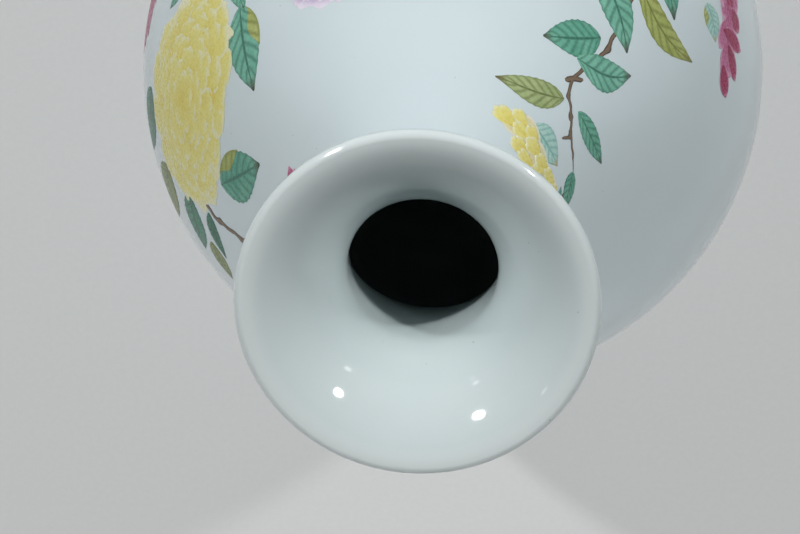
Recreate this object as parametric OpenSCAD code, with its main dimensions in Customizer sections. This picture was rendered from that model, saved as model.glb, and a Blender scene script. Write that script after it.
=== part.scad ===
// Yuhuchunping: a pear-shaped porcelain vase with a trumpet mouth and a turned foot ring.
// It is thrown in three sections that are luted with slip, then glazed inside, outside and
// under the base, and the foot ring stays bare. All outer sizes are over the glaze.
// Origin: centre of the foot ring's resting face, with the axis along +Z.

/* [Overall] */
// Height from the foot ring to the top of the lip
height = 295; // [275:1:325]

/* [Mouth] */
// Outer diameter of the lip
mouth_d = 86; // [76:1:96]
// Wall thickness at the fully rounded lip
lip_t = 3.6; // [2.8:0.2:4.4]
// Slope of the trumpet at the lip, from level
lip_slope = 4; // [0:1:12]
// Length of the trumpet's pull inward from the lip
flare_pull = 5; // [4.5:0.5:7]

/* [Neck] */
// Outer diameter of the neck where it is narrowest
neck_d = 45; // [40:1:52]
// Drop from the top of the lip to the narrowest place
neck_drop = 27; // [24:1:32]
// Wall thickness of the neck
neck_t = 4.2; // [3.2:0.2:5.4]
// Length of the upright pull above the narrowest place
neck_pull = 12; // [9:0.5:14]
// Upright pull of the neck below it, as a share of the way down to the girth
neck_share = 0.43; // [0.34:0.01:0.5]
// Length of the thrown neck, from the top of the lip down to its luted seam
neck_len = 80; // [66:1:96]

/* [Belly] */
// Outer diameter at the widest girth
belly_d = 184; // [166:1:204]
// Height of the widest girth, where the lower seam runs
belly_z = 99; // [88:1:112]
// Wall thickness at the girth
belly_t = 5.2; // [4.2:0.2:7]
// Fullness of the shoulder, as a share of the way up to the neck
shoulder_share = 0.44; // [0.34:0.01:0.5]
// Fullness of the bowl below the girth, as a share of the way down to the foot
bowl_share = 0.52; // [0.46:0.01:0.58]
// Fullness of the inside of the bowl, as a share of its depth and width
floor_share = 0.65; // [0.56:0.01:0.67]

/* [Foot] */
// Outer diameter of the foot ring
foot_d = 112; // [100:1:124]
// Height at which the bowl meets the foot ring
foot_h = 10; // [8:0.5:14]
// Width of the foot ring over the glaze
foot_w = 7; // [6:0.5:10]
// Rounding of the bare edges of the foot ring
foot_round = 1.6; // [0.8:0.2:2]
// Slope of the bowl where it runs into the foot, from level
foot_slope = 30; // [22:1:38]
// Length of the bowl's pull outward above the foot
foot_pull = 13; // [9:0.5:17]
// Reach of the cove between bowl and foot ring
cove = 3.2; // [2:0.2:4.4]
// Depth of the recess under the base
recess_h = 7.5; // [5:0.5:10]
// Radius of the corner in the recess
recess_round = 3; // [1:0.5:4]
// Thickness of the base at its centre
base_t = 7; // [5:0.5:10]

/* [Finish] */
// Thickness of the fired glaze
glaze_t = 0.4; // [0.3:0.1:0.6]
// Thickness of the slip in the luted seams
slip_t = 0.8; // [0.6:0.2:1.6]
// Height of the bare clay on the foot ring
bare_h = 2.6; // [2.2:0.2:3.6]

/* [Hidden] */

$fn = 96;
// Straight steps along each curve of the outline
lip_steps = 8;
flare_steps = 20;
neck_steps = 12;
shoulder_steps = 24;
bowl_steps = 20;
corner_steps = 5;

clay_colour = "#ece6da";
slip_colour = "#dcd4c4";
glaze_colour = "#dbe5e5";

// Sides of the wall
outside = 1;
inside = -1;

foot_r = foot_d / 2;
recess_r = foot_r - foot_w;
floor_z = recess_h + base_t;
belly_r = belly_d / 2;
cavity_r = belly_r - belly_t;
slip_top = belly_z + slip_t / 2;
slip_bottom = belly_z - slip_t / 2;

// Centre line of the wall, from the lip down to the girth
lip_c = [(mouth_d - lip_t) / 2, height - lip_t / 2];
lip_dir = [cos(lip_slope), sin(lip_slope)];
neck_c = [(neck_d - neck_t) / 2, height - neck_drop];
girth_c = [(belly_d - belly_t) / 2, slip_top];
span = neck_c.y - girth_c.y;
flare_curve = [
    lip_c,
    lip_c - flare_pull * lip_dir,
    neck_c + [0, neck_pull],
    neck_c
];
shoulder_curve = [
    neck_c,
    neck_c - [0, neck_share * span],
    girth_c + [0, shoulder_share * span],
    girth_c
];

// Outside of the bowl, from the girth to the foot ring, and the cove where they meet
foot_dir = [cos(foot_slope), sin(foot_slope)];
foot_top = [foot_r, foot_h];
bowl_end = foot_top + cove * foot_dir;
cove_end = foot_top - [0, cove];
bowl_curve = [
    [belly_r, slip_bottom],
    [belly_r, slip_bottom - bowl_share * (slip_bottom - bowl_end.y)],
    bowl_end + foot_pull * foot_dir,
    bowl_end
];
cove_curve = [
    bowl_end,
    bowl_end + (foot_top - bowl_end) * 2 / 3,
    cove_end + (foot_top - cove_end) * 2 / 3,
    cove_end
];

// Inside of the bowl, a full quarter oval from the girth to the middle of the floor
floor_curve = [
    [cavity_r, slip_bottom],
    [cavity_r, slip_bottom - floor_share * (slip_bottom - floor_z)],
    [floor_share * cavity_r, floor_z],
    [0, floor_z]
];

function ramp(from, to, steps) = [for (i = [0:steps]) from + (to - from) * i / steps];
function reverse(path) = [for (i = [len(path) - 1:-1:0]) path[i]];

function curve_point(c, t) =
    pow(1 - t, 3) * c[0] + 3 * pow(1 - t, 2) * t * c[1] + 3 * (1 - t) * t * t * c[2] + pow(t, 3) * c[3];

// Direction of travel along a curve
function curve_way(c, t) =
    let (way = pow(1 - t, 2) * (c[1] - c[0]) + 2 * (1 - t) * t * (c[2] - c[1]) + t * t * (c[3] - c[2]))
    way / norm(way);

// A point moved square off a curve, away from the vase's inside
function curve_offset(c, t, d) =
    let (way = curve_way(c, t))
    curve_point(c, t) + d * [-way.y, way.x];

// Where a falling curve passes a height, by halving
function curve_at(c, z, low = 0, high = 1, rounds = 24) =
    let (middle = (low + high) / 2)
    rounds == 0 ? middle
    : curve_point(c, middle).y > z ? curve_at(c, z, middle, high, rounds - 1)
    : curve_at(c, z, low, middle, rounds - 1);

// A point on one side of the tapering wall; inset is how far it lies under the glaze's surface
function flare_at(t, side, inset) =
    curve_offset(flare_curve, t, side * ((lip_t + (neck_t - lip_t) * t) / 2 - inset));
function shoulder_at(t, side, inset) =
    curve_offset(shoulder_curve, t, side * ((neck_t + (belly_t - neck_t) * t) / 2 - inset));

// Where the luted seam at the neck's root starts and ends along the shoulder's curve
seam_top = curve_at(shoulder_curve, height - neck_len);
seam_bottom = curve_at(shoulder_curve, height - neck_len - slip_t);

// Stretches of the outline, all running down from the lip
function lip_path(side, inset) = [
    for (a = ramp(lip_slope, lip_slope - side * 90, lip_steps))
        lip_c + (lip_t / 2 - inset) * [cos(a), sin(a)]
];
function neck_path(side, inset) = concat(
    lip_path(side, inset),
    [for (t = ramp(0, 1, flare_steps)) if (t > 0) flare_at(t, side, inset)],
    [for (t = ramp(0, seam_top, neck_steps)) if (t > 0) shoulder_at(t, side, inset)]
);
function shoulder_path(side, inset) =
    [for (t = ramp(seam_bottom, 1, shoulder_steps)) shoulder_at(t, side, inset)];
function bowl_path(inset) = concat(
    [for (t = ramp(0, 1, bowl_steps)) curve_offset(bowl_curve, t, -inset)],
    [for (t = ramp(0, 1, corner_steps)) if (t > 0) curve_offset(cove_curve, t, -inset)],
    [[foot_r - inset, bare_h]]
);
function floor_path(inset) = [for (t = ramp(0, 1, bowl_steps)) curve_offset(floor_curve, t, inset)];

// Underside of the base, from the axis out and down the inside of the foot ring
function recess_path(inset) = concat(
    [[0, recess_h + inset]],
    [for (a = ramp(90, 0, corner_steps))
        [recess_r - recess_round, recess_h - recess_round] + (recess_round + inset) * [cos(a), sin(a)]],
    [[recess_r + inset, bare_h]]
);

// Bare end of the foot ring, from its outer to its inner edge
function foot_path() = concat(
    [for (a = ramp(0, -90, corner_steps))
        [foot_r - glaze_t - foot_round, foot_round] + foot_round * [cos(a), sin(a)]],
    [for (a = ramp(-90, -180, corner_steps))
        [recess_r + glaze_t + foot_round, foot_round] + foot_round * [cos(a), sin(a)]]
);

function outer_path(inset) =
    concat(neck_path(outside, inset), shoulder_path(outside, inset), bowl_path(inset));
function inner_path(inset) =
    concat(neck_path(inside, inset), shoulder_path(inside, inset), floor_path(inset));

// A solid of revolution between two outlines
module turned(path, back_path) {
    rotate_extrude() polygon(concat(path, reverse(back_path)));
}

// Thrown bowl, with the base and foot ring turned from it
module lower_body() {
    color(clay_colour)
        turned(concat(bowl_path(glaze_t), foot_path(), reverse(recess_path(glaze_t))), floor_path(glaze_t));
}

// Layer of slip that joins bowl and shoulder
module girth_slip() {
    color(slip_colour)
        turned(
            [[belly_r - glaze_t, slip_top], [belly_r - glaze_t, slip_bottom]],
            [[cavity_r + glaze_t, slip_top], [cavity_r + glaze_t, slip_bottom]]
        );
}

// Thrown shoulder, from the girth up to the root of the neck
module upper_body() {
    color(clay_colour) turned(shoulder_path(outside, glaze_t), shoulder_path(inside, glaze_t));
}

// Layer of slip that joins shoulder and neck
module neck_slip() {
    color(slip_colour)
        turned(
            [for (t = [seam_top, seam_bottom]) shoulder_at(t, outside, glaze_t)],
            [for (t = [seam_top, seam_bottom]) shoulder_at(t, inside, glaze_t)]
        );
}

// Thrown neck with the trumpet mouth
module neck() {
    color(clay_colour) turned(neck_path(outside, glaze_t), neck_path(inside, glaze_t));
}

// Coat from the lip down to the bare foot
module outer_glaze() {
    color(glaze_colour) turned(outer_path(0), outer_path(glaze_t));
}

// Coat from the lip down over the whole inside
module inner_glaze() {
    color(glaze_colour) turned(inner_path(0), inner_path(glaze_t));
}

// Coat in the recess of the base
module base_glaze() {
    color(glaze_colour) turned(recess_path(0), recess_path(glaze_t));
}

lower_body();
girth_slip();
upper_body();
neck_slip();
neck();
outer_glaze();
inner_glaze();
base_glaze();
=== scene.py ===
import math
import random

import bpy
import numpy as np
from mathutils import Matrix, Quaternion, Vector


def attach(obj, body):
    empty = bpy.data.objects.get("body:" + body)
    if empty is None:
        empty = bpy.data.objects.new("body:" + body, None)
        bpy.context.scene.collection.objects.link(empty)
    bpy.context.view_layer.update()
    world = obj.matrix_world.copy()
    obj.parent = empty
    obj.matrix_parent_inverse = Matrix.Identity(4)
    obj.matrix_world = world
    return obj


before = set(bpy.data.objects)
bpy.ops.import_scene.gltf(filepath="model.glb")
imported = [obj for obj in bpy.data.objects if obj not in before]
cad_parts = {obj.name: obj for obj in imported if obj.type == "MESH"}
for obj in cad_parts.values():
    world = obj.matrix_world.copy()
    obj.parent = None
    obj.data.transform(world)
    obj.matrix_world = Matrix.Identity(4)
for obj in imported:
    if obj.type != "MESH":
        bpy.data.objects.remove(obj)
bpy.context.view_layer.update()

mm = 0.001
noiseRange = (0.3, 0.7)  # where most of a noise texture's values lie
porcelainIor = 1.5  # clay, glaze and enamel alike
faceWeight = 50  # faces count by their area in the smoothed normals
scene = bpy.context.scene
scene.view_settings.view_transform = "Standard"


def linear(hexColour):
    parts = [int(hexColour[i:i + 2], 16) / 255 for i in (1, 3, 5)]
    return [p / 12.92 if p <= 0.04045 else ((p + 0.055) / 1.055) ** 2.4 for p in parts] + [1.0]


# Adds a node; a setting is an input's name or number, or else one of the node's own properties
def addNode(tree, kind, settings={}, links={}):
    node = tree.nodes.new(kind)
    for key, value in settings.items():
        if isinstance(key, str) and hasattr(node, key):
            setattr(node, key, value)
        else:
            node.inputs[key].default_value = value
    for key, socket in links.items():
        tree.links.new(socket, node.inputs[key])
    return node


def newMaterial(name):
    material = bpy.data.materials.new(name)
    material.use_nodes = True
    return material, material.node_tree, material.node_tree.nodes["Principled BSDF"]


# 1 where the backdrop is looked at, straight or mirrored, and 0 where it would light something
def looksAtBackdrop(tree):
    path = addNode(tree, "ShaderNodeLightPath")
    mirrored = addNode(tree, "ShaderNodeMath", {"operation": "ADD"},
                       {0: path.outputs["Is Glossy Ray"], 1: path.outputs["Is Transmission Ray"]})
    seen = addNode(tree, "ShaderNodeMath", {"operation": "ADD", "use_clamp": True},
                   {0: path.outputs["Is Camera Ray"], 1: mirrored.outputs[0]})
    return seen.outputs[0]


# Camera: looks down into the mouth with the foot turned away behind it, as the photograph does
cameraSet = {
    "lens": 123.07,  # mm
    "sensor": 36.0,  # mm across
    "clipStart": 0.02,
    "place": (-0.03425, -0.23077, 0.88606),
    "target": (0.0039, -0.0094, 0.2933),
    "imageUp": (0.01385, -0.93701, -0.34903),
}


def placeCamera():
    data = bpy.data.cameras.new("photoCamera")
    data.lens = cameraSet["lens"]
    data.sensor_width = cameraSet["sensor"]
    data.clip_start = cameraSet["clipStart"]
    camera = bpy.data.objects.new("photoCamera", data)
    scene.collection.objects.link(camera)
    ahead = (Vector(cameraSet["target"]) - Vector(cameraSet["place"])).normalized()
    side = ahead.cross(Vector(cameraSet["imageUp"])).normalized()
    above = side.cross(ahead)
    turned = Matrix((side, above, -ahead)).transposed()
    camera.matrix_world = Matrix.Translation(cameraSet["place"]) @ turned.to_4x4()
    scene.camera = camera


placeCamera()
print("camera placed")

# Lamps: two working lamps above the mouth, each with a head that only leaves its spot in the gloss,
# low soft boxes before and behind the vase, and thin panels for the short streaks in the mouth
lampSet = [
    # name, turn and elevation in degrees, distance, height aimed at, width and depth in metres,
    # roll in degrees, watts, seen in the gloss, lights the surface
    ("softBox", -3.0, -5.0, 1.10, 0.17, 1.20, 0.10, 0.0, 1.1, False, True),
    ("lampLeft", -50.4, 32.0, 1.18, 0.285, 0.075, 0.075, 0.0, 6.5, False, True),
    ("lampRight", 42.0, 36.2, 1.18, 0.285, 0.060, 0.060, 0.0, 8.0, False, True),
    ("headLeft", -50.4, 31.5, 1.17, 0.285, 0.095, 0.095, 0.0, 5.4, True, False),
    ("headRight", 41.3, 35.2, 1.17, 0.285, 0.115, 0.095, 0.0, 6.6, True, False),
    ("stripLeft", -52.5, 14.2, 1.17, 0.285, 0.130, 0.035, 2.3, 0.080, True, True),
    ("stripRight", 44.1, 13.8, 1.17, 0.285, 0.102, 0.035, -9.3, 0.060, True, True),
    ("stripHigh", 82.6, 44.3, 1.18, 0.285, 0.077, 0.047, -59.0, 0.035, True, True),
    ("fillBehind", 176.0, 1.5, 1.20, 0.17, 0.70, 0.34, 0.0, 6.0, False, True),
]
worldSet = {"light": "#dfe6ea", "lightStrength": 0.045, "backdrop": "#d8dada"}


def placeLamps():
    for name, turn, elevation, distance, aim, width, depth, roll, power, mirrored, working in lampSet:
        data = bpy.data.lights.new(name, "AREA")
        data.shape = "ELLIPSE"
        data.size = width
        data.size_y = depth
        data.energy = power
        lamp = bpy.data.objects.new(name, data)
        turn, elevation = math.radians(turn), math.radians(elevation)
        away, above = math.cos(elevation), math.sin(elevation)
        way = Vector((away * math.sin(turn), -away * math.cos(turn), above))
        lamp.location = Vector((0, 0, aim)) + distance * way
        facing = (-way).to_track_quat("-Z", "Y") @ Quaternion((0, 0, 1), math.radians(roll))
        lamp.rotation_euler = facing.to_euler()
        lamp.visible_glossy = mirrored
        lamp.visible_diffuse = working
        scene.collection.objects.link(lamp)

    world = bpy.data.worlds.new("paleStudio")
    world.use_nodes = True
    tree = world.node_tree
    tree.nodes.clear()
    light = addNode(tree, "ShaderNodeBackground",
                    {"Color": linear(worldSet["light"]), "Strength": worldSet["lightStrength"]})
    backdrop = addNode(tree, "ShaderNodeBackground", {"Color": linear(worldSet["backdrop"])})
    mix = addNode(tree, "ShaderNodeMixShader", {},
                  {0: looksAtBackdrop(tree), 1: light.outputs[0], 2: backdrop.outputs[0]})
    addNode(tree, "ShaderNodeOutputWorld", {}, {"Surface": mix.outputs[0]})
    scene.world = world


placeLamps()
print("lamps placed:", len(lampSet))

# Floor: seamless studio paper, matt, with a faint felt of fibres; it fades to the backdrop away
# from the vase
floorSet = {
    "radius": 3.0, "corners": 64, "paper": "#ebecec", "fibre": "#e0e1e1",
    "fibreSize": 2.0,  # mm, coarser than real fibres so that they show
    "roughness": 0.9,
    "fade": (0.25, 0.90), "lift": 0.45,  # metres from the axis, and the backdrop's share near the vase
}


def layFloor():
    data = bpy.data.meshes.new("studioFloor")
    corners = np.linspace(0, math.tau, floorSet["corners"], endpoint=False)
    ring = [(floorSet["radius"] * math.cos(a), floorSet["radius"] * math.sin(a), 0.0) for a in corners]
    data.from_pydata(ring, [], [list(range(len(ring)))])
    floor = bpy.data.objects.new("studioFloor", data)
    scene.collection.objects.link(floor)
    material, tree, shader = newMaterial("Studio paper, felted")
    place = addNode(tree, "ShaderNodeTexCoord")
    fibre = addNode(tree, "ShaderNodeTexNoise", {"Scale": 1 / (floorSet["fibreSize"] * mm), "Detail": 3.0},
                    {"Vector": place.outputs["Object"]})
    colour = addNode(tree, "ShaderNodeMix", {
        "data_type": "RGBA", 6: linear(floorSet["paper"]), 7: linear(floorSet["fibre"])},
        {0: fibre.outputs[0]})
    tree.links.new(colour.outputs[2], shader.inputs["Base Color"])
    shader.inputs["Roughness"].default_value = floorSet["roughness"]
    away = addNode(tree, "ShaderNodeVectorMath", {"operation": "LENGTH"}, {0: place.outputs["Object"]})
    fade = addNode(tree, "ShaderNodeMapRange", {
        "interpolation_type": "SMOOTHSTEP", "From Min": floorSet["fade"][0],
        "From Max": floorSet["fade"][1], "To Min": floorSet["lift"]}, {"Value": away.outputs["Value"]})
    pale = addNode(tree, "ShaderNodeMath", {"operation": "MULTIPLY"},
                   {0: fade.outputs[0], 1: looksAtBackdrop(tree)})
    glow = addNode(tree, "ShaderNodeEmission", {"Color": linear(worldSet["backdrop"])})
    mix = addNode(tree, "ShaderNodeMixShader", {},
                  {0: pale.outputs[0], 1: shader.outputs[0], 2: glow.outputs[0]})
    tree.links.new(mix.outputs[0], tree.nodes["Material Output"].inputs["Surface"])
    data.materials.append(material)


layFloor()
print("floor laid")

# Porcelain glaze, dipped, poured or brushed on and fired glossy: blue-white, pooled bluer in hollows and
# thin and white on the lip, with a soft orange peel, faint throwing rings under it and pin-head iron specks.
# Sizes of clouds, peel, rings and specks are in mm; pool and bareLip are heights in metres
outsideGlaze = {
    "name": "Porcelain glaze, dipped outside", "body": "#d7e3e6", "cool": "#cbdbe0", "thin": "#e2eaea",
    "pooled": "#bfd2d2", "cloud": 46.0, "peel": 2.6, "peelDepth": 0.006, "ring": 9.0, "ringDepth": 0.02,
    "speckSpacing": 6.5, "speckSize": 0.20, "pool": (0.016, 0.007), "bareLip": (0.2932, 0.2950),
}
insideGlaze = {
    "name": "Porcelain glaze, poured inside", "body": "#d9e3e3", "cool": "#ccdadb", "thin": "#e2e9e9",
    "pooled": "#b7cac8", "cloud": 38.0, "peel": 2.2, "peelDepth": 0.006, "ring": 6.0, "ringDepth": 0.035,
    "speckSpacing": 5.5, "speckSize": 0.22, "pool": (0.060, 0.014), "bareLip": (0.2932, 0.2950),
}
baseGlaze = {
    "name": "Porcelain glaze, brushed on the base", "body": "#dae3e2", "cool": "#cad8d8", "thin": "#e9ece6",
    "pooled": "#b9cccb", "cloud": 22.0, "peel": 2.0, "peelDepth": 0.008, "ring": 7.0, "ringDepth": 0.01,
    "speckSpacing": 4.5, "speckSize": 0.24, "pool": (0.0068, 0.0076), "bareLip": (0.290, 0.295),
}
everyGlaze = {
    "pooled": 1.0, "thin": 0.6,  # strength of these two shades
    "speck": "#6f6250", "speckStrength": 0.75,
    "speckCore": 0.4,  # share of a speck's radius that is fully dark
    "ringDrift": 4.0,  # per metre, so a ring hardly changes on its way round
    "roughness": (0.04, 0.08),
}


def glazeMaterial(glaze):
    material, tree, shader = newMaterial(glaze["name"])
    place = addNode(tree, "ShaderNodeTexCoord")
    spot = place.outputs["Object"]
    height = addNode(tree, "ShaderNodeSeparateXYZ", {}, {0: spot})
    cloud = addNode(tree, "ShaderNodeTexNoise", {"Scale": 1 / (glaze["cloud"] * mm), "Detail": 2.0},
                    {"Vector": spot})
    body = addNode(tree, "ShaderNodeMix", {
        "data_type": "RGBA", 6: linear(glaze["body"]), 7: linear(glaze["cool"])}, {0: cloud.outputs[0]})
    for heights, shade in (("pool", "pooled"), ("bareLip", "thin")):
        low, high = glaze[heights]
        band = addNode(tree, "ShaderNodeMapRange", {
            "interpolation_type": "SMOOTHSTEP", "From Min": low, "From Max": high,
            "To Max": everyGlaze[shade]}, {"Value": height.outputs["Z"]})
        body = addNode(tree, "ShaderNodeMix", {"data_type": "RGBA", 7: linear(glaze[shade])},
                       {0: band.outputs[0], 6: body.outputs[2]})
    # iron specks: only the cells whose middle lies at the surface show, so they stay few
    specks = addNode(tree, "ShaderNodeTexVoronoi", {"Scale": 1 / (glaze["speckSpacing"] * mm)},
                     {"Vector": spot})
    reach = glaze["speckSize"] / glaze["speckSpacing"]
    speck = addNode(tree, "ShaderNodeMapRange", {
        "interpolation_type": "SMOOTHSTEP", "From Min": reach, "From Max": reach * everyGlaze["speckCore"],
        "To Max": everyGlaze["speckStrength"]}, {"Value": specks.outputs["Distance"]})
    speckled = addNode(tree, "ShaderNodeMix", {"data_type": "RGBA", 7: linear(everyGlaze["speck"])},
                       {0: speck.outputs[0], 6: body.outputs[2]})
    tree.links.new(speckled.outputs[2], shader.inputs["Base Color"])

    # throwing rings: noise drawn out flat round the axis
    drift = everyGlaze["ringDrift"]
    flat = addNode(tree, "ShaderNodeMapping", {"Scale": (drift, drift, 1 / (glaze["ring"] * mm))},
                   {"Vector": spot})
    rings = addNode(tree, "ShaderNodeTexNoise", {"Scale": 1.0, "Detail": 1.0}, {"Vector": flat.outputs[0]})
    ringBump = addNode(tree, "ShaderNodeBump", {"Strength": 1.0, "Distance": glaze["ringDepth"] * mm},
                       {"Height": rings.outputs[0]})
    peel = addNode(tree, "ShaderNodeTexNoise", {"Scale": 1 / (glaze["peel"] * mm), "Detail": 1.0},
                   {"Vector": spot})
    peelBump = addNode(tree, "ShaderNodeBump", {"Strength": 1.0, "Distance": glaze["peelDepth"] * mm},
                       {"Height": peel.outputs[0], "Normal": ringBump.outputs[0]})
    tree.links.new(peelBump.outputs[0], shader.inputs["Normal"])
    gloss = addNode(tree, "ShaderNodeMapRange", {
        "From Min": noiseRange[0], "From Max": noiseRange[1],
        "To Min": everyGlaze["roughness"][0], "To Max": everyGlaze["roughness"][1]},
        {"Value": cloud.outputs[0]})
    tree.links.new(gloss.outputs[0], shader.inputs["Roughness"])
    shader.inputs["IOR"].default_value = porcelainIor
    return material


# Bare porcelain, turned on the wheel and fired: warm white, dry and finely gritty, with an orange
# flush where it meets the glaze and a grey tread where it has stood. Grit and turning lines are in mm
bareClay = {"name": "Bare porcelain, turned", "clay": "#e7dfcf", "shade": "#d8cdb8", "flush": "#c98d58",
            "tread": "#b9ae9c", "grit": 0.5, "gritDepth": 0.03, "turning": 1.1, "roughness": 0.72}
# Luting slip, brushed wet and fired: the same clay, a little yellower and coarser
seamSlip = {"name": "Luting slip, fired", "clay": "#dcd2bd", "shade": "#cbbfa5", "flush": "#c7a57c",
            "tread": "#b9ae9c", "grit": 0.7, "gritDepth": 0.05, "turning": 1.6, "roughness": 0.8}
everyClay = {
    "patch": 9.0,  # mm, patches in which flush and tread come and go
    "flushHeights": (1.5, 2.6), "treadHeights": (0.5, 0.05),  # mm above the standing face
    "turningDrift": 30.0, "turningDepth": 0.05, "bump": 0.8,  # per metre, mm, share
}


def clayMaterial(clay):
    material, tree, shader = newMaterial(clay["name"])
    place = addNode(tree, "ShaderNodeTexCoord")
    spot = place.outputs["Object"]
    height = addNode(tree, "ShaderNodeSeparateXYZ", {}, {0: spot})
    grit = addNode(tree, "ShaderNodeTexNoise", {"Scale": 1 / (clay["grit"] * mm), "Detail": 3.0},
                   {"Vector": spot})
    patch = addNode(tree, "ShaderNodeTexNoise", {"Scale": 1 / (everyClay["patch"] * mm), "Detail": 3.0},
                    {"Vector": spot})
    colour = addNode(tree, "ShaderNodeMix", {
        "data_type": "RGBA", 6: linear(clay["clay"]), 7: linear(clay["shade"])}, {0: grit.outputs[0]})
    for stain in ("flush", "tread"):
        low, high = everyClay[stain + "Heights"]
        band = addNode(tree, "ShaderNodeMapRange", {
            "interpolation_type": "SMOOTHSTEP", "From Min": low * mm, "From Max": high * mm},
            {"Value": height.outputs["Z"]})
        patchy = addNode(tree, "ShaderNodeMath", {"operation": "MULTIPLY"},
                         {0: band.outputs[0], 1: patch.outputs[0]})
        colour = addNode(tree, "ShaderNodeMix", {"data_type": "RGBA", 7: linear(clay[stain])},
                         {0: patchy.outputs[0], 6: colour.outputs[2]})
    tree.links.new(colour.outputs[2], shader.inputs["Base Color"])
    # turning lines left by the iron, and the grit it dragged
    drift = everyClay["turningDrift"]
    flat = addNode(tree, "ShaderNodeMapping", {"Scale": (drift, drift, 1 / (clay["turning"] * mm))},
                   {"Vector": spot})
    turning = addNode(tree, "ShaderNodeTexNoise", {"Scale": 1.0, "Detail": 2.0}, {"Vector": flat.outputs[0]})
    turnBump = addNode(tree, "ShaderNodeBump", {
        "Strength": everyClay["bump"], "Distance": everyClay["turningDepth"] * mm},
        {"Height": turning.outputs[0]})
    gritBump = addNode(tree, "ShaderNodeBump", {
        "Strength": everyClay["bump"], "Distance": clay["gritDepth"] * mm},
        {"Height": grit.outputs[0], "Normal": turnBump.outputs[0]})
    tree.links.new(gritBump.outputs[0], shader.inputs["Normal"])
    shader.inputs["Roughness"].default_value = clay["roughness"]
    shader.inputs["IOR"].default_value = porcelainIor
    return material


bandGap = 0.005 * mm  # points of neighbouring bands that lie closer than this are joined


def dressCadNodes():
    clay, slip = clayMaterial(bareClay), clayMaterial(seamSlip)
    finishes = {
        "lower_body": clay, "upper_body": clay, "neck": clay, "girth_slip": slip, "neck_slip": slip,
        "outer_glaze": glazeMaterial(outsideGlaze), "inner_glaze": glazeMaterial(insideGlaze),
        "base_glaze": glazeMaterial(baseGlaze),
    }
    for name, material in finishes.items():
        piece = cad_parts[name]
        piece.data.materials.clear()
        piece.data.materials.append(material)
        # the bands of the turned faces are joined for shading only, so the gloss runs smoothly over them
        piece.modifiers.new("joinBands", "WELD").merge_threshold = bandGap
        piece.modifiers.new("evenGloss", "WEIGHTED_NORMAL").weight = faceWeight


dressCadNodes()
print("clay and glaze dressed:", len(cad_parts))


# The outside of the glaze as rings: height, radius and the way along the wall up to each
def readOutside():
    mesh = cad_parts["outer_glaze"].data
    leastOutward = 0.03  # of a face's normal; keeps out the inner side of the coat
    rings = {}
    for face in mesh.polygons:
        middle, facing = face.center, face.normal
        if facing.x * middle.x + facing.y * middle.y > leastOutward * math.hypot(middle.x, middle.y):
            for index in face.vertices:
                x, y, z = mesh.vertices[index].co
                rings[round(z, 6)] = math.hypot(x, y)
    heights = np.array(sorted(rings))
    radii = np.array([rings[z] for z in heights])
    rises = np.concatenate([[0.0], np.cumsum(np.hypot(np.diff(heights), np.diff(radii)))])
    return heights, radii, rises


ringHeights, ringRadii, ringRises = readOutside()


# Turn is in degrees about the axis, from the front (-Y) round to the right (+X)
def onGlaze(turn, rise, lift):
    radius = np.interp(rise, ringRises, ringRadii)
    height = np.interp(rise, ringRises, ringHeights)
    nudge = 0.6 * mm
    lean = np.interp(rise + nudge, ringRises, ringRadii) - np.interp(rise - nudge, ringRises, ringRadii)
    climb = np.interp(rise + nudge, ringRises, ringHeights) - np.interp(rise - nudge, ringRises, ringHeights)
    size = np.hypot(lean, climb)
    radius = radius + lift * climb / size
    height = height - lift * lean / size
    angle = np.radians(turn)
    return np.stack([radius * np.sin(angle), -radius * np.cos(angle), height], axis=-1)


def riseAt(height):
    return float(np.interp(height * mm, ringHeights, ringRises))


# How far, in metres, and which way one place on the wall is from another
def spanBetween(start, end):
    rise0, rise1 = riseAt(start[1]), riseAt(end[1])
    radius = float(np.interp((rise0 + rise1) / 2, ringRises, ringRadii))
    right, up = math.radians(end[0] - start[0]) * radius, rise1 - rise0
    return math.hypot(right, up), math.atan2(right, up)


enamelSheets = {}


def addPatch(enamel, turn, rise, lift, along, across, tint):
    sheet = enamelSheets.setdefault(enamel, {"points": [], "faces": [], "marks": []})
    first, (rows, columns) = len(sheet["points"]), turn.shape
    sheet["points"] += onGlaze(turn, rise, lift).reshape(-1, 3).tolist()
    sheet["marks"] += [(a, b, tint) for a, b in zip(along.ravel().tolist(), across.ravel().tolist())]
    for i in range(rows - 1):
        for j in range(columns - 1):
            a = first + i * columns + j
            sheet["faces"].append((a, a + 1, a + columns + 1, a + columns))


# Outlines: half the width at a share t of the way from base to tip, 1 where it is widest
def leafOutline(t):
    return (t / 0.42) ** 0.74 * ((1 - t) / 0.58) ** 1.02  # widest at 0.42


def roundOutline(t):
    return np.sqrt(np.maximum(0.0, 1 - (2 * t ** 1.5 - 1) ** 2))  # a circle drawn out towards its base


def pointedOutline(t):
    return (t / 0.5) ** 0.75 * ((1 - t) / 0.5) ** 0.75  # the same at both ends


# Blades, which are single leaves and petals: dome and all lifts over the glaze are in mm, the rest are shares
bladeSet = {"dome": 0.012, "slimmest": 0.045, "foldShare": 0.64, "foldSlimmest": 0.03}


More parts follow.
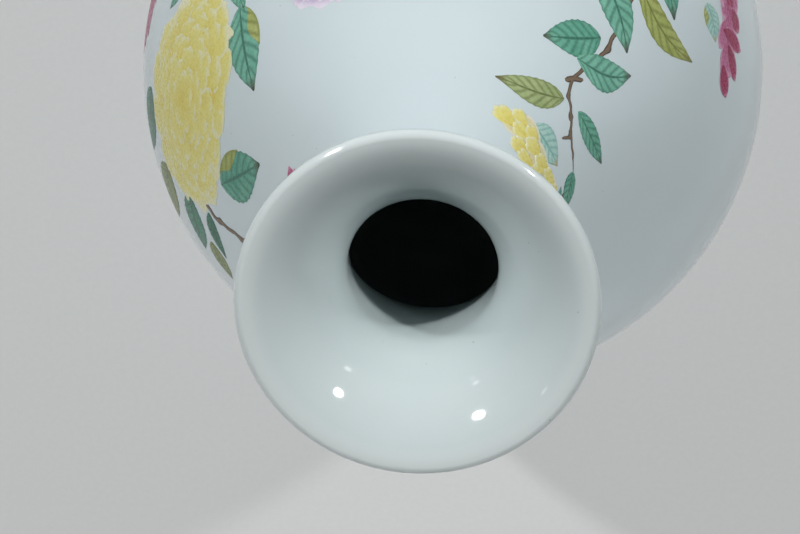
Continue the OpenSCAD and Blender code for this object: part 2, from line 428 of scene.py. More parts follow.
# Lifts are at the base and the tip, and reach trims the blade lengthwise
def addBlade(enamel, start, heading, length, width, outline, lifts, tint, steps, bend=0.0,
             offset=(0.0, 0.0), stretch=(1.0, 1.0), reach=(0.0, 1.0), teeth=0.0, fold=0):
    t = np.linspace(reach[0], reach[1], steps[0])[:, None]
    s = np.linspace(-1, 1, steps[1])[None, :]
    half = width / 2 * np.maximum(outline(t), bladeSet["slimmest"])
    half = half * (1 + teeth * np.where(np.arange(steps[0]) % 2, 1, -1)[:, None])
    if fold:
        # only a lens along one edge, from nothing to most of that half and back to nothing
        part = np.sin(math.pi * (t - reach[0]) / (reach[1] - reach[0]))
        s = fold * (1.0 - (1 - s) / 2 * np.maximum(bladeSet["foldShare"] * part, bladeSet["foldSlimmest"]))
    x = s * half + bend * length * np.sin(math.pi * t)
    y = length * t + 0 * s
    c, d = math.cos(heading), math.sin(heading)
    right = (offset[0] + x * c + y * d) * stretch[0]
    up = (offset[1] - x * d + y * c) * stretch[1]
    rise = riseAt(start[1]) + up
    turn = start[0] + np.degrees(right / np.interp(rise, ringRises, ringRadii))
    lift = (lifts[0] + (lifts[1] - lifts[0]) * t + bladeSet["dome"] * (1 - s ** 2)) * mm
    addPatch(enamel, turn, rise, lift, t + 0 * s, (s + 1) / 2 + 0 * t, tint)


# Leaves: pointed ovals with a finely toothed edge, some with one side turned over to its lime back
leafSet = {
    "lift": 0.030, "liftSpread": 0.006, "teeth": 0.030, "bend": 0.05, "steps": (21, 9),
    "back": "limeLeaf", "backLift": 0.008, "backWidth": 1.05, "backReach": (0.04, 0.58), "backSteps": (15, 5),
}


def addLeaf(enamel, base, tip, share, fold=0, bend=None):
    length, heading = spanBetween(base, tip)
    chance = random.Random(f"{base}{tip}")
    drift = chance.uniform(-1, 1) * leafSet["bend"]
    lift = leafSet["lift"] + chance.uniform(0, leafSet["liftSpread"])
    shape = dict(outline=leafOutline, tint=chance.random(), bend=drift if bend is None else bend)
    addBlade(enamel, base, heading, length, share * length, lifts=(lift, lift), teeth=leafSet["teeth"],
             steps=leafSet["steps"], **shape)
    if fold:
        lift += leafSet["backLift"]
        addBlade(leafSet["back"], base, heading, length, share * length * leafSet["backWidth"],
                 lifts=(lift, lift), reach=leafSet["backReach"], fold=fold, steps=leafSet["backSteps"],
                 **shape)


# Branches: brown ribbons that taper, waver and thicken into knots; lengths are in mm
branchSet = {
    "step": 0.9, "columns": 5, "lift": 0.014, "dome": 0.014, "taper": 0.8,
    "firstKnot": 4, "knotEvery": 10.0, "knotSpread": (0.6, 1.4), "lastKnot": 3, "knotReach": 1.1,
    "knotSwell": 0.75,
    "blunt": 0.12, "stop": 0.6,  # the brush comes to a round stop at both ends
    "waver": 0.16, "waverRate": 0.9,
    "markEvery": 10,  # mm of branch to one unit of its drawn layer
}


def smoothLine(points, step):
    ends = [2 * points[0] - points[1]] + list(points) + [2 * points[-1] - points[-2]]
    line = []
    for a, b, c, d in zip(ends, ends[1:], ends[2:], ends[3:]):
        pieces = max(2, int(np.hypot(*(c - b)) / step))
        for u in np.linspace(0, 1, pieces, endpoint=False):
            line.append(0.5 * (2 * b + (c - a) * u + (2 * a - 5 * b + 4 * c - d) * u ** 2
                               + (3 * b - a - 3 * c + d) * u ** 3))
    return np.array(line + [points[-1]])


def addBranch(path, widths):
    chance = random.Random(str(path))
    # the path in metres: round the vase at the radius of the path's middle, and up the wall
    rises = np.array([riseAt(h) for _, h in path])
    radius = float(np.interp(rises.mean(), ringRises, ringRadii))
    points = [np.array([math.radians(t) * radius, r]) for (t, _), r in zip(path, rises)]
    line = smoothLine(points, branchSet["step"] * mm)
    way = np.gradient(line, axis=0)
    way /= np.hypot(way[:, 0], way[:, 1])[:, None]
    run = np.concatenate([[0.0], np.cumsum(np.hypot(*np.diff(line, axis=0).T))]) / mm
    width = widths[0] + (widths[1] - widths[0]) * (run / run[-1]) ** branchSet["taper"]
    at = chance.uniform(branchSet["firstKnot"], branchSet["knotEvery"])
    while at < run[-1] - branchSet["lastKnot"]:
        width = width * (1 + branchSet["knotSwell"] * np.exp(-((run - at) / branchSet["knotReach"]) ** 2))
        at += branchSet["knotEvery"] * chance.uniform(*branchSet["knotSpread"])
    near = np.minimum(run, run[-1] - run) + branchSet["blunt"]
    width = width * np.sqrt(np.minimum(1.0, near / (branchSet["stop"] * width)))
    side = np.stack([way[:, 1], -way[:, 0]], axis=-1)
    waver = branchSet["waver"] * np.sin(run * branchSet["waverRate"] + chance.uniform(0, 6)) * width
    s = np.linspace(-1, 1, branchSet["columns"])[None, :]
    across = (waver[:, None] + s * width[:, None] / 2) * mm
    rise = line[:, 1:] + across * side[:, 1:]
    local = np.interp(line[:, 1:], ringRises, ringRadii)
    turn = np.degrees(line[:, :1] / radius + across * side[:, :1] / local)
    lift = (branchSet["lift"] + branchSet["dome"] * (1 - s ** 2)) * mm + 0 * turn
    addPatch("brownBranch", turn, rise, lift, run[:, None] / branchSet["markEvery"] + 0 * turn,
             (s + 1) / 2 + 0 * turn, chance.random())


# Blossoms: petals laid from the rim inwards on the golden angle, each tip over the base of the last
goldenTurn = math.radians(137.508)
bloomKinds = {
    # petals of a full-size blossom; their length at the rim and at the crown, their width, and how far out
    # the innermost ones start, as shares of the blossom's radius; outline of a petal
    "yellow": {"petals": 84, "length": (0.38, 0.30), "width": 0.37, "crown": 0.10, "outline": roundOutline},
    "pink": {"petals": 40, "length": (0.58, 0.32), "width": 0.62, "crown": 0.06, "outline": roundOutline},
    "ruby": {"petals": 62, "length": (0.56, 0.30), "width": 0.30, "crown": 0.05, "outline": pointedOutline},
    "lilac": {"petals": 34, "length": (0.62, 0.40), "width": 0.27, "crown": 0.22, "outline": roundOutline},
}
bloomSet = {
    "fullSize": 60,  # mm across; smaller blossoms have fewer petals
    "ground": 14, "groundLength": 0.95, "groundWidth": 0.60, "groundLifts": (0.056, 0.058),
    "lift": 0.058, "climb": 0.014, "curl": 0.014,
    "rim": (0.94, 1.0), "sway": 0.16, "bend": 0.06, "slimmest": 0.72, "pastCentre": 0.2, "steps": (9, 5),
}


def addBloom(kind, centre, across, squash=1.0, lean=0.0, skirt=None):
    bloom, enamel = bloomKinds[kind], kind + "Petal"
    chance = random.Random(f"{kind}{centre}")
    radius = across / 2 * mm
    shape = dict(stretch=(1.0, squash), steps=bloomSet["steps"])
    if skirt:
        addSkirt(kind, centre, radius, *skirt)
    for k in range(bloomSet["ground"]):  # broad petals underneath, so no glaze shows between the others
        addBlade(enamel, centre, k * math.tau / bloomSet["ground"] + lean, bloomSet["groundLength"] * radius,
                 bloomSet["groundWidth"] * radius, roundOutline, bloomSet["groundLifts"], 0.5, **shape)
    count = int(bloom["petals"] * min(1.0, math.sqrt(across / bloomSet["fullSize"])))
    for k in range(count):
        share = 1 - k / (count - 1)  # 1 at the rim, 0 at the crown
        length = (bloom["length"][1] + (bloom["length"][0] - bloom["length"][1]) * share) * radius
        reach = (bloom["crown"] + (1 - bloom["crown"]) * math.sqrt(share)) * radius
        reach = reach * chance.uniform(*bloomSet["rim"])
        angle = k * goldenTurn + chance.uniform(-bloomSet["sway"], bloomSet["sway"]) + lean
        inner = max(reach - length, -bloomSet["pastCentre"] * length)
        width = bloom["width"] * radius * (bloomSet["slimmest"] + (1 - bloomSet["slimmest"]) * share)
        lift = bloomSet["lift"] + bloomSet["climb"] * (1 - share)
        addBlade(enamel, centre, angle, length, width, bloom["outline"], (lift, lift + bloomSet["curl"]),
                 chance.random(), bend=chance.uniform(-bloomSet["bend"], bloomSet["bend"]),
                 offset=(inner * math.sin(angle), inner * math.cos(angle)), **shape)
    if kind == "lilac":
        addStamens(centre, radius)


# Skirt: long loose petals that hang out from under a blossom, from one angle in degrees round to another
skirtSet = {
    "lift": 0.036, "layer": 0.004, "curl": 0.008, "inner": 0.50, "sway": 6, "bend": 0.12,
    "sizes": (0.82, 1.08), "steps": (13, 5),
    # enamel, length and width as shares of the blossom's radius, shift as a share of a step
    "layers": (("rosePetal", 1.05, 0.44, 0.0), ("rubyPetal", 0.92, 0.30, 0.5)),
}


def addSkirt(kind, centre, radius, first, last, count):
    chance = random.Random(f"skirt{kind}{centre}")
    inner = skirtSet["inner"] * radius
    for row, (enamel, length, width, shift) in enumerate(skirtSet["layers"]):
        lift = skirtSet["lift"] + skirtSet["layer"] * row
        for k in range(count):
            angle = first + (last - first) * (k + shift) / count
            angle = math.radians(angle + chance.uniform(-skirtSet["sway"], skirtSet["sway"]))
            size = length * radius * chance.uniform(*skirtSet["sizes"])
            addBlade(enamel, centre, angle, size, width * radius, bloomKinds[kind]["outline"],
                     (lift, lift + skirtSet["curl"]), chance.random(),
                     bend=chance.uniform(-1, 1) * skirtSet["bend"],
                     offset=(inner * math.sin(angle), inner * math.cos(angle)), steps=skirtSet["steps"])


# Blossoms seen from their side: the petals are laid one by one, each over the last, some split into strands
petalSet = {
    "lift": 0.056, "layer": 0.0018, "strandLayer": 0.0005, "curl": 0.008, "bend": 0.07, "steps": (15, 7),
    # a strand's turn per share of width, and its length and width as shares of the petal's
    "strands": {"yellowPetal": [(-0.40, 0.92, 0.52), (0.40, 0.92, 0.52), (0.0, 1.0, 0.56)]},
    "unsplit": [(0.0, 1.0, 1.0)],
}


def addPetals(kind, layers):
    petals = [(enamel, *petal) for enamel, layer in layers for petal in layer]
    for k, (enamel, base, tip, share) in enumerate(petals):
        length, heading = spanBetween(base, tip)
        chance = random.Random(f"petal{base}{tip}")
        lift = petalSet["lift"] + k * petalSet["layer"]
        for turnBy, size, width in petalSet["strands"].get(enamel, petalSet["unsplit"]):
            addBlade(enamel, base, heading + turnBy * share, length * size, share * length * width,
                     bloomKinds[kind]["outline"], (lift, lift + petalSet["curl"]), chance.random(),
                     bend=chance.uniform(-1, 1) * petalSet["bend"], steps=petalSet["steps"])
            lift += petalSet["strandLayer"]


# Stamens: round beads of thick yellow enamel, of a size in mm, over a share of the blossom's radius
stamenSet = {"enamel": "goldStamen", "count": 26, "spread": 0.24, "bead": 0.95, "lift": 0.086,
             "steps": (6, 5)}


def addStamens(centre, radius):
    count, bead, lift = stamenSet["count"], stamenSet["bead"] * mm, stamenSet["lift"]
    for k in range(count):
        away, angle = stamenSet["spread"] * radius * math.sqrt((k + 0.5) / count), k * goldenTurn
        addBlade(stamenSet["enamel"], centre, 0.0, bead, bead, roundOutline, (lift, lift), k / count,
                 offset=(away * math.sin(angle), away * math.cos(angle) - bead / 2), steps=stamenSet["steps"])


# Buds: a few pointed petals held in two small sepals
budSet = {
    "petals": [(-0.20, 0.88), (0.20, 0.88), (0.0, 1.0)],  # turn in radians and share of the length
    "petalWidth": 0.8, "lift": 0.056, "layer": 0.008, "tintStep": 0.3,
    "sepal": "greenLeaf", "sepalTurns": (-0.55, 0.55), "sepalLength": 0.5, "sepalWidth": 0.45,
    "sepalLifts": (0.070, 0.080), "steps": (9, 5),
}


def addBud(kind, base, tip, share):
    length, heading = spanBetween(base, tip)
    for k, (turnBy, size) in enumerate(budSet["petals"]):
        lift = budSet["lift"] + budSet["layer"] * k
        addBlade(kind + "Petal", base, heading + turnBy, length * size, share * length * budSet["petalWidth"],
                 pointedOutline, (lift, lift + budSet["layer"]), budSet["tintStep"] * k,
                 steps=budSet["steps"])
    for turnBy in budSet["sepalTurns"]:
        addBlade(budSet["sepal"], base, heading + turnBy, length * budSet["sepalLength"],
                 share * length * budSet["sepalWidth"], leafOutline, budSet["sepalLifts"], 0.5,
                 steps=budSet["steps"])


# Leaves that follow a branch by themselves, on alternate sides, where the plant needs filling
growSet = {
    "length": 25.0, "sizes": (0.8, 1.15), "angles": (38, 72), "widths": (0.44, 0.56), "gaps": (0.2, 0.8),
    "climb": 0.92, "foldEvery": 4, "enamels": ["greenLeaf", "oliveLeaf", "greenLeaf", "deepLeaf"],
}


def growLeaves(path, heights, count):
    chance = random.Random(f"leaves{path}{heights}")
    pathTurns, pathHeights = zip(*path)
    for k in range(count):
        height = heights[0] + (heights[1] - heights[0]) * (k + chance.uniform(*growSet["gaps"])) / count
        turn = float(np.interp(height, pathHeights, pathTurns))
        side = 1 if k % 2 else -1
        size = growSet["length"] * chance.uniform(*growSet["sizes"])
        angle = side * math.radians(chance.uniform(*growSet["angles"]))
        radius = float(np.interp(riseAt(height), ringRises, ringRadii)) / mm
        tip = (turn + math.degrees(size * math.sin(angle) / radius),
               height + size * math.cos(angle) * growSet["climb"])
        addLeaf(growSet["enamels"][k % len(growSet["enamels"])], (turn, height), tip,
                chance.uniform(*growSet["widths"]), fold=0 if k % growSet["foldEvery"] else side)


# The plants. A place is its turn in degrees and its height in mm.
# branches: places along one, then its width at both ends in mm
# sideBlooms: kind, then for each enamel the base, tip and width of every petal, as a share of its length
# leaves: enamel, base, tip, width as a share of the length, side that is turned over, bend
# blooms: kind, centre, mm across, share of its height, turn of its petals, angles and petals of a skirt
# buds: kind, base, tip, width; grown: heights between which leaves follow the first branch, and how many

# Left plant: the spray on the right of the photograph, which shows its upper half
leftPlant = {
    "branches": [
        ([(-8, 13), (-15, 45), (-28, 82), (-39, 118), (-46, 150), (-50.8, 173.3), (-53.5, 185.6),
          (-54.2, 190.3), (-52.6, 196), (-52, 201.5), (-53.6, 205.3), (-59.4, 208.5), (-65.9, 212.2),
          (-74.3, 214.6)], (3.4, 0.8)),
        ([(-49.7, 203.8), (-52.0, 201.8), (-54.6, 199.4)], (1.7, 1.5)),
        ([(-66.1, 212.1), (-65.0, 213.9), (-64.0, 215.6)], (1.1, 0.8)),
        ([(-58.7, 208.5), (-60.0, 209.3), (-61.3, 210.1)], (2.0, 1.8)),
        ([(-64.7, 211.8), (-65.7, 212.4), (-66.8, 213.1)], (1.9, 1.7)),
        ([(-73.4, 214.4), (-76.2, 215.0), (-79.0, 215.7)], (0.5, 0.4)),
        ([(-80, 217.2), (-85, 220.6), (-89, 224.4)], (0.8, 1.1)),
        ([(-36, 108), (-47, 112), (-58, 121)], (1.7, 1.0)),
        ([(-15, 45), (-13, 72), (-15, 104)], (2.0, 1.1)),
    ],
    "sideBlooms": [
        ("ruby", [
            ("rosePetal", [
                ((-62.5, 127.5), (-67.5, 142.5), 0.62), ((-65.5, 131.5), (-71.0, 137.0), 0.8),
                ((-66.7, 135.9), (-69.6, 144.2), 0.71), ((-69.1, 137.1), (-73.7, 140.3), 1.0),
                ((-68.4, 138.6), (-74.6, 145.4), 0.8), ((-69.2, 141.0), (-75.5, 142.0), 0.6),
                ((-70.1, 143.2), (-73.6, 151.1), 0.52), ((-73.2, 145.2), (-80.5, 149.2), 0.62),
                ((-73.8, 146.4), (-79.2, 152.9), 0.6),
            ]),
            ("rubyPetal", [
                ((-63.6, 130.5), (-66.4, 140.0), 0.5), ((-65.5, 133.2), (-69.6, 138.0), 0.8),
                ((-69.6, 137.0), (-74.4, 138.0), 0.85), ((-71.2, 146.1), (-77.9, 139.1), 0.46),
                ((-74.6, 146.0), (-82.1, 145.9), 0.5), ((-77.2, 151.2), (-83.9, 152.2), 0.6),
            ]),
        ]),
        ("yellow", [
            ("creamPetal", [
                ((-54.0, 227.6), (-34.5, 224.6), 0.68), ((-60.0, 225.8), (-41.0, 222.6), 0.62),
                ((-66.0, 229.6), (-45.5, 229.0), 0.8), ((-73.0, 227.6), (-52.0, 225.6), 0.66),
                ((-78.0, 230.6), (-52.0, 231.8), 0.6), ((-90.0, 226.4), (-66.0, 228.6), 0.66),
            ]),
            ("yellowPetal", [
                ((-43.2, 227.1), (-29.2, 225.2), 0.74), ((-48.7, 224.0), (-38.3, 222.0), 0.72),
                ((-51.5, 226.6), (-41.0, 226.3), 0.95), ((-55.8, 224.4), (-47.5, 223.4), 0.93),
                ((-56.0, 231.7), (-43.5, 230.5), 0.92), ((-62.6, 226.8), (-50.3, 226.8), 0.98),
                ((-64.0, 231.7), (-50.0, 233.5), 0.86), ((-71.6, 226.7), (-59.4, 228.2), 0.86),
                ((-74.0, 230.5), (-61.0, 232.7), 0.84), ((-80.0, 225.6), (-67.6, 227.5), 0.78),
                ((-83.0, 229.0), (-70.0, 231.4), 0.8), ((-88.0, 225.0), (-76.0, 226.6), 0.74),
            ]),
        ]),
    ],
    "leaves": [
        ("greenLeaf", (-50.6, 187.6), (-36.8, 198.5), 0.62), ("greenLeaf", (-41, 174), (-58, 183.8), 0.52),
        ("greenLeaf", (-48.6, 196.8), (-65.6, 186.1), 0.46, 0, 0.12),
        ("oliveLeaf", (-53.8, 207.9), (-27.5, 216.2), 0.45, 0, -0.1),
        ("greenLeaf", (-61, 206.2), (-82.8, 204.2), 0.4), ("greenLeaf", (-78.6, 215.6), (-93, 222), 0.5),
        ("limeLeaf", (-48, 166.5), (-72.3, 164.5), 0.31, 0, 0.19),
        ("greenLeaf", (-46, 150), (-60.8, 164.6), 0.46), ("paleLeaf", (-64.4, 149.0), (-72, 152), 0.7, 1),
        ("paleLeaf", (-50, 221.5), (-71.5, 221.5), 0.82), ("greenLeaf", (-90, 225.2), (-80.5, 222.0), 0.42),
        ("greenLeaf", (-90, 225.2), (-82, 231.2), 0.42), ("greenLeaf", (-9, 106), (12, 125), 0.5, 1),
        ("greenLeaf", (-18, 104), (-42, 103), 0.48), ("oliveLeaf", (-14, 112), (1, 141), 0.42),
    ],
    "blooms": [
        ("ruby", (-58, 121.5), 30, 1.0, 0.12, (-10, 250, 10)),
        ("pink", (-16, 116), 58, 0.9, 0.0),
    ],
    "buds": [("ruby", (-22, 64), (-35, 73), 0.55)],
    "grown": ((24, 108), 6),
}
# Right plant: the spray on the left of the photograph
rightPlant = {
    "branches": [
        ([(60, 13), (69, 48), (71, 84), (66, 112), (61, 134), (62, 150), (70, 157), (84, 160),
          (97, 163), (108.2, 170.5), (111.8, 176.6), (114.7, 181.5), (121, 193), (124, 205)], (3.2, 1.5)),
        ([(74, 60), (62, 100), (54, 138), (52, 158), (52.5, 170)], (1.8, 0.7)),
        ([(55, 134), (41, 152), (30, 168)], (1.0, 0.6)),
        ([(114.7, 181.5), (111, 198), (104, 212), (96.5, 221)], (1.0, 0.6)),
    ],
    "sideBlooms": [],
    "leaves": [
        ("greenLeaf", (54.6, 171.6), (65.8, 190.6), 0.5, -1),
        ("greenLeaf", (98.9, 180.2), (88.1, 199.1), 0.57, -1),
        ("greenLeaf", (52.4, 160.5), (54.3, 174.0), 0.4), ("greenLeaf", (61.6, 143.0), (69.2, 141.8), 0.5),
        ("deepLeaf", (105.3, 159.3), (119.7, 151.3), 0.5), ("deepLeaf", (108.4, 168.6), (121.3, 164.4), 0.36),
        ("mossLeaf", (116.8, 160.8), (127.2, 156.8), 0.55),
        ("mossLeaf", (100.6, 146.8), (114.2, 134.8), 0.55), ("deepLeaf", (86.5, 137.5), (100.6, 130), 0.56),
        ("greenLeaf", (52, 158), (36, 140), 0.46), ("greenLeaf", (43, 152), (48, 127), 0.42, 1),
        ("paleLeaf", (121, 193), (134, 200), 0.5), ("greenLeaf", (124, 205), (121, 223), 0.46),
    ],
    "blooms": [
        ("yellow", (82.8, 161.7), 69.0, 0.77, 0.0),
        ("ruby", (73, 105.5), 43, 1.0, 0.3),
        ("lilac", (27.8, 178.6), 35, 1.0, 0.0),
    ],
    "buds": [("ruby", (96.5, 221.3), (78.6, 212.7), 0.52)],
    "grown": ((22, 92), 5),
}
# Back plant: not in the photograph, drawn in the manner of the other two
backPlant = {
    "branches": [
        ([(200, 13), (196, 46), (190, 84), (183, 108), (174, 122), (178, 150), (187, 174), (192, 196),
          (189, 214)], (3.2, 0.5)),
        ([(175, 120), (160, 138), (153, 152)], (1.4, 0.8)),
        ([(180, 156), (190, 164), (197, 174)], (1.4, 0.7)),
        ([(196, 46), (210, 66), (222, 86)], (1.8, 0.9)),
    ],
    "sideBlooms": [],
    "leaves": [
        ("greenLeaf", (176, 116), (199, 122), 0.5, 1), ("oliveLeaf", (174, 118), (158, 94), 0.44),
        ("greenLeaf", (190, 84), (168, 78), 0.48), ("greenLeaf", (187, 174), (173, 190), 0.5, -1),
        ("oliveLeaf", (190, 188), (204, 198), 0.46), ("paleLeaf", (192, 196), (179, 206), 0.48),
        ("deepLeaf", (190, 164), (202, 150), 0.44), ("greenLeaf", (189, 214), (195, 230), 0.48),
        ("greenLeaf", (210, 66), (205, 92), 0.46), ("greenLeaf", (160, 138), (142, 134), 0.44),
        ("greenLeaf", (222, 86), (239, 98), 0.46, 1), ("oliveLeaf", (215, 76), (234, 68), 0.44),
    ],
    "blooms": [
        ("yellow", (175, 133), 56, 0.9, 0.0),
        ("lilac", (151, 160), 36, 0.95, 0.0),
        ("pink", (198, 180), 36, 0.9, 0.0),
        ("ruby", (225, 97), 44, 0.95, 0.0),
    ],
    "buds": [("pink", (189, 214), (185, 229), 0.62)],
    "grown": ((22, 76), 4),
}


def paintPlant(plant):
    for path, widths in plant["branches"]:
        addBranch(path, widths)
    for leaf in plant["leaves"]:
        addLeaf(*leaf)
    for kind, layers in plant["sideBlooms"]:
        addPetals(kind, layers)
    for bloom in plant["blooms"]:
        addBloom(*bloom)
    for bud in plant["buds"]:
        addBud(*bud)


plants = (leftPlant, rightPlant, backPlant)
for plant in plants:
    paintPlant(plant)
for plant in plants:
    growLeaves(plant["branches"][0][0], *plant["grown"])
print("plants drawn:", len(plants))

# Overglaze enamel, brushed on and fired low: glassy and slightly proud, thin where the brush lifted, with
# the outlines and veins of the drawing in dark enamel under the colour
enamelSet = {
    # drawn as leaves: colour, deeper wash, vein, tip
    "greenLeaf": ("leaf", "#81bfa9", "#529b84", "#336a58", "#473b2e"),
    "deepLeaf": ("leaf", "#3f9275", "#1f694e", "#113f30", "#2c281f"),
    "mossLeaf": ("leaf", "#8f9d5c", "#69793a", "#465228", "#473a25"),
    "oliveLeaf": ("leaf", "#abba85", "#889b60", "#616f3c", "#5c4a2e"),
    "limeLeaf": ("leaf", "#b9c07c", "#98a655", "#6f7636", "#7a7a40"),
    "paleLeaf": ("leaf", "#b4d6cd", "#8cc4bb", "#74aba2", "#b3a473"),
    # drawn as petals: body, heart of the petal, rim
    "yellowPetal": ("petal", "#e5df8a", "#dbc955", "#e6e7cb"),
    "creamPetal": ("petal", "#e2dcb0", "#d6c98a", "#ebe9da"),
    "rubyPetal": ("petal", "#a3235a", "#80123f", "#c986a6"),
    "rosePetal": ("petal", "#c0719a", "#a03a6c", "#dcb2ca"),
    "pinkPetal": ("petal", "#e2a3ae", "#c4506f", "#f3e6e3"),
    "lilacPetal": ("petal", "#cdbedb", "#9d88b8", "#eeeaf2"),
    "goldStamen": ("petal", "#e2bf3d", "#b98a2a", "#f0dc7c"),
    # drawn as bark: body, darker strokes, outline
    "brownBranch": ("bark", "#8b7a66", "#604d3c", "#3a2d23"),
}
# A line's numbers are where it starts, where it is full and its strength there. The places are shares of the
# way from base to tip or from midrib to edge; for side veins, of their spacing, and for the wash, of the tint
leafPaint = {
    "wash": (0.35, 1.20), "veins": 7.0, "slant": -0.20, "sideVein": (0.36, 0.0, 0.60),
    "rib": (0.13, 0.03, 0.9), "edge": (0.80, 0.99, 0.5), "dryTip": (0.80, 1.0, 0.85),
}
petalPaint = {"heart": (0.95, 0.15, 0.9), "sideRim": (0.66, 0.98, 0.80), "tipRim": (0.78, 0.98, 0.80)}
barkPaint = {"edge": (0.35, 0.9, 0.9)}


# Draws lines of one colour over a body; where they cross, the stronger one counts
def drawLines(tree, paint, sockets, colour, body):
    lines = None
    for name, socket in sockets.items():
        start, full, strength = paint[name]
        line = addNode(tree, "ShaderNodeMapRange", {
            "interpolation_type": "SMOOTHSTEP", "From Min": start, "From Max": full, "To Max": strength},
            {"Value": socket})
        if lines:
            line = addNode(tree, "ShaderNodeMath", {"operation": "MAXIMUM"},
                           {0: lines.outputs[0], 1: line.outputs[0]})
        lines = line
    return addNode(tree, "ShaderNodeMix", {"data_type": "RGBA", 7: colour},
                   {0: lines.outputs[0], 6: body.outputs[2]})


def paintLeaf(tree, colours, along, fromRib, wash):
    light, deep, vein, tip = colours
    start, full = leafPaint["wash"]
    washed = addNode(tree, "ShaderNodeMapRange", {"From Min": start, "From Max": full}, {"Value": wash})
    body = addNode(tree, "ShaderNodeMix", {"data_type": "RGBA", 6: light, 7: deep}, {0: washed.outputs[0]})
    # pairs of side veins that run forward from the midrib
    slant = addNode(tree, "ShaderNodeMath", {"operation": "MULTIPLY_ADD", 1: leafPaint["slant"]},
                    {0: fromRib, 2: along})
    count = addNode(tree, "ShaderNodeMath", {"operation": "MULTIPLY", 1: leafPaint["veins"]},
                    {0: slant.outputs[0]})
    wave = addNode(tree, "ShaderNodeMath", {"operation": "PINGPONG", 1: 0.5}, {0: count.outputs[0]})
    veins = {"sideVein": wave.outputs[0], "rib": fromRib, "edge": fromRib}
    veined = drawLines(tree, leafPaint, veins, vein, body)
    return drawLines(tree, leafPaint, {"dryTip": along}, tip, veined)


def paintPetal(tree, colours, along, fromRib, wash):
    light, heart, rim = colours
    start, full, strength = petalPaint["heart"]
    washed = addNode(tree, "ShaderNodeMapRange", {"From Min": start, "From Max": full, "To Max": strength},
                     {"Value": along})
    uneven = addNode(tree, "ShaderNodeMath", {"operation": "MULTIPLY", "use_clamp": True},
                     {0: washed.outputs[0], 1: wash})
    body = addNode(tree, "ShaderNodeMix", {"data_type": "RGBA", 6: light, 7: heart}, {0: uneven.outputs[0]})
    return drawLines(tree, petalPaint, {"sideRim": fromRib, "tipRim": along}, rim, body)


def paintBark(tree, colours, fromRib, stroke):
    light, deep, line = colours
    body = addNode(tree, "ShaderNodeMix", {"data_type": "RGBA", 6: light, 7: deep}, {0: stroke})
    return drawLines(tree, barkPaint, {"edge": fromRib}, line, body)


coatSet = {
    "stroke": 0.9, "pool": 5.0,  # mm, the unevenness that brush and puddle leave
    "tintShare": 0.7, "strokeDepth": 0.012, "roughness": (0.22, 0.34),
    "specular": 0.25,  # the brushed face mirrors less than the glaze
    "thickness": 0.03,  # mm
}


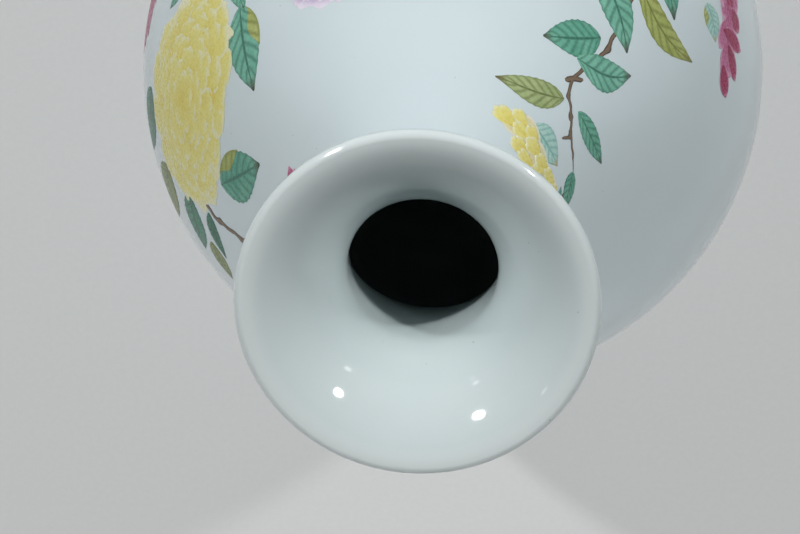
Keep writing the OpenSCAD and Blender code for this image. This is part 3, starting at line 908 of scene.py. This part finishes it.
def enamelMaterial(enamel):
    kind, *colours = enamelSet[enamel]
    colours = [linear(colour) for colour in colours]
    material, tree, shader = newMaterial(f"Overglaze enamel, brushed {enamel}")
    place = addNode(tree, "ShaderNodeTexCoord")
    layer = addNode(tree, "ShaderNodeUVMap", {"uv_map": "drawn"})
    drawn = addNode(tree, "ShaderNodeSeparateXYZ", {}, {0: layer.outputs["UV"]})
    along, across = drawn.outputs["X"], drawn.outputs["Y"]
    twice = addNode(tree, "ShaderNodeMath", {"operation": "MULTIPLY_ADD", 1: 2.0, 2: -1.0}, {0: across})
    fromRib = addNode(tree, "ShaderNodeMath", {"operation": "ABSOLUTE"}, {0: twice.outputs[0]}).outputs[0]
    stroke = addNode(tree, "ShaderNodeTexNoise", {"Scale": 1 / (coatSet["stroke"] * mm), "Detail": 2.0},
                     {"Vector": place.outputs["Object"]})
    if kind == "bark":
        colour = paintBark(tree, colours, fromRib, stroke.outputs[0])
    else:
        tint = addNode(tree, "ShaderNodeAttribute", {"attribute_name": "tint"})
        pool = addNode(tree, "ShaderNodeTexNoise", {"Scale": 1 / (coatSet["pool"] * mm), "Detail": 1.0},
                       {"Vector": place.outputs["Object"]})
        wash = addNode(tree, "ShaderNodeMath", {"operation": "MULTIPLY_ADD", 1: coatSet["tintShare"]},
                       {0: tint.outputs["Fac"], 2: pool.outputs[0]})
        paint = {"leaf": paintLeaf, "petal": paintPetal}[kind]
        colour = paint(tree, colours, along, fromRib, wash.outputs[0])
    tree.links.new(colour.outputs[2], shader.inputs["Base Color"])
    bump = addNode(tree, "ShaderNodeBump", {"Strength": 1.0, "Distance": coatSet["strokeDepth"] * mm},
                   {"Height": stroke.outputs[0]})
    tree.links.new(bump.outputs[0], shader.inputs["Normal"])
    gloss = addNode(tree, "ShaderNodeMapRange", {
        "From Min": noiseRange[0], "From Max": noiseRange[1],
        "To Min": coatSet["roughness"][0], "To Max": coatSet["roughness"][1]}, {"Value": stroke.outputs[0]})
    tree.links.new(gloss.outputs[0], shader.inputs["Roughness"])
    shader.inputs["IOR"].default_value = porcelainIor
    shader.inputs["Specular IOR Level"].default_value = coatSet["specular"]
    return material


def makeEnamels():
    for enamel, sheet in enamelSheets.items():
        mesh = bpy.data.meshes.new(enamel)
        mesh.from_pydata(sheet["points"], [], sheet["faces"])
        drawn = mesh.uv_layers.new(name="drawn")
        corners = np.zeros(len(mesh.loops), dtype=np.int32)
        mesh.loops.foreach_get("vertex_index", corners)
        marks = np.array(sheet["marks"], dtype=np.float32)
        drawn.data.foreach_set("uv", marks[corners, :2].ravel())
        tint = mesh.attributes.new("tint", "FLOAT", "POINT")
        tint.data.foreach_set("value", marks[:, 2].copy())
        mesh.polygons.foreach_set("use_smooth", [True] * len(mesh.polygons))
        mesh.materials.append(enamelMaterial(enamel))
        piece = bpy.data.objects.new(enamel, mesh)
        scene.collection.objects.link(piece)
        coat = piece.modifiers.new("coat", "SOLIDIFY")
        coat.thickness = coatSet["thickness"] * mm
        coat.offset = -1.0
        # keeps the thin rims out of the shading
        piece.modifiers.new("evenGloss", "WEIGHTED_NORMAL").weight = faceWeight
        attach(piece, "root")
        print("enamel", enamel, len(mesh.polygons), "faces")


makeEnamels()
